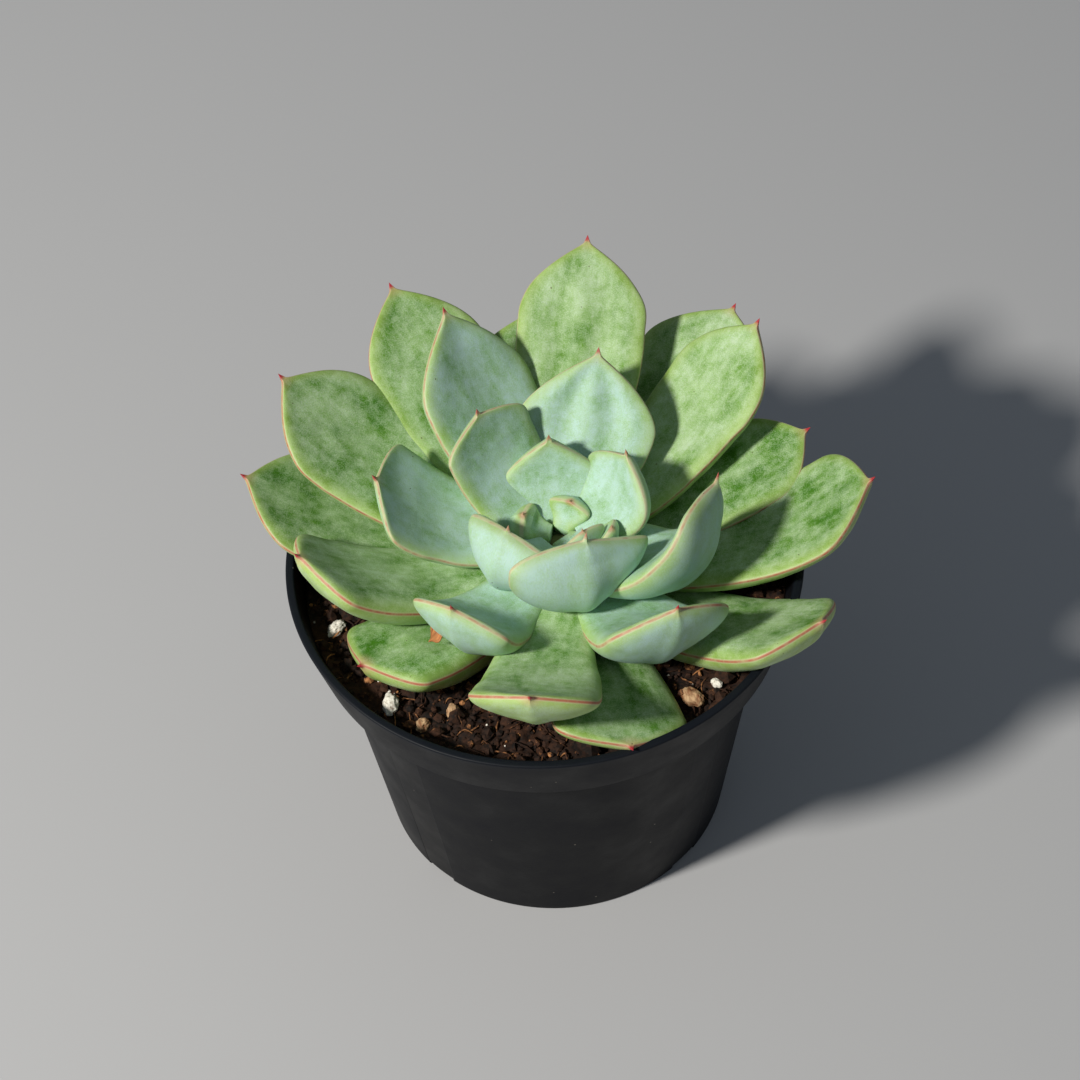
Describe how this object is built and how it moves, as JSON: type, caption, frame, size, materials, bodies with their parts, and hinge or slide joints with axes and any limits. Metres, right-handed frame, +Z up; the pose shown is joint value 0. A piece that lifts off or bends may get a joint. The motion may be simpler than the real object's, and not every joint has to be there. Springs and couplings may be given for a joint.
{
  "type": "potted succulent",
  "caption": "Echeveria rosette of fleshy grey-green leaves with red tips, rooted in peat mix in a round black plastic nursery pot.",
  "frame": {"origin": "middle of the pot's flat underside, on the ground", "axes": "+Z up along the pot's axis; +Y away from the side the plant is usually seen from; +X to the right seen from there"},
  "size_m": [0.1268, 0.1157, 0.105],
  "materials": {
    "pot_plastic": "matt black moulded polypropylene, dusty",
    "peat_mix": "damp fibrous peat and coir",
    "stem_skin": "dull green-brown stem skin",
    "outer_leaf": "fleshy green leaf with patchy waxy bloom and pink margin",
    "inner_leaf": "fleshy blue-green leaf with even waxy bloom and pale margin",
    "perlite": "chalky white expanded grain",
    "bark": "dry bark crumb",
    "dried_leaf": "shrivelled papery leaf"
  },
  "bodies": {
    "root": {"pot": "pot_plastic", "soil": "peat_mix", "stem": "stem_skin", "leaf_01": "outer_leaf", "leaf_02": "outer_leaf", "leaf_03": "outer_leaf", "leaf_04": "outer_leaf", "leaf_05": "outer_leaf", "leaf_06": "outer_leaf", "leaf_07": "outer_leaf", "leaf_08": "outer_leaf", "leaf_09": "outer_leaf", "leaf_10": "outer_leaf", "leaf_11": "outer_leaf", "leaf_12": "outer_leaf", "leaf_13": "outer_leaf", "leaf_14": "outer_leaf", "leaf_15": "inner_leaf", "leaf_16": "inner_leaf", "leaf_17": "inner_leaf", "leaf_18": "inner_leaf", "leaf_19": "inner_leaf", "leaf_20": "inner_leaf", "leaf_21": "inner_leaf", "leaf_22": "inner_leaf", "leaf_23": "inner_leaf", "leaf_24": "inner_leaf", "leaf_25": "inner_leaf", "leaf_26": "inner_leaf", "leaf_27": "inner_leaf", "leaf_28": "inner_leaf", "leaf_29": "inner_leaf", "perlite_1": "perlite", "perlite_2": "perlite", "perlite_3": "perlite", "bark_chip_1": "bark", "bark_chip_2": "bark", "bark_chip_3": "bark", "dried_leaf": "dried_leaf"}
  },
  "joints": []
}
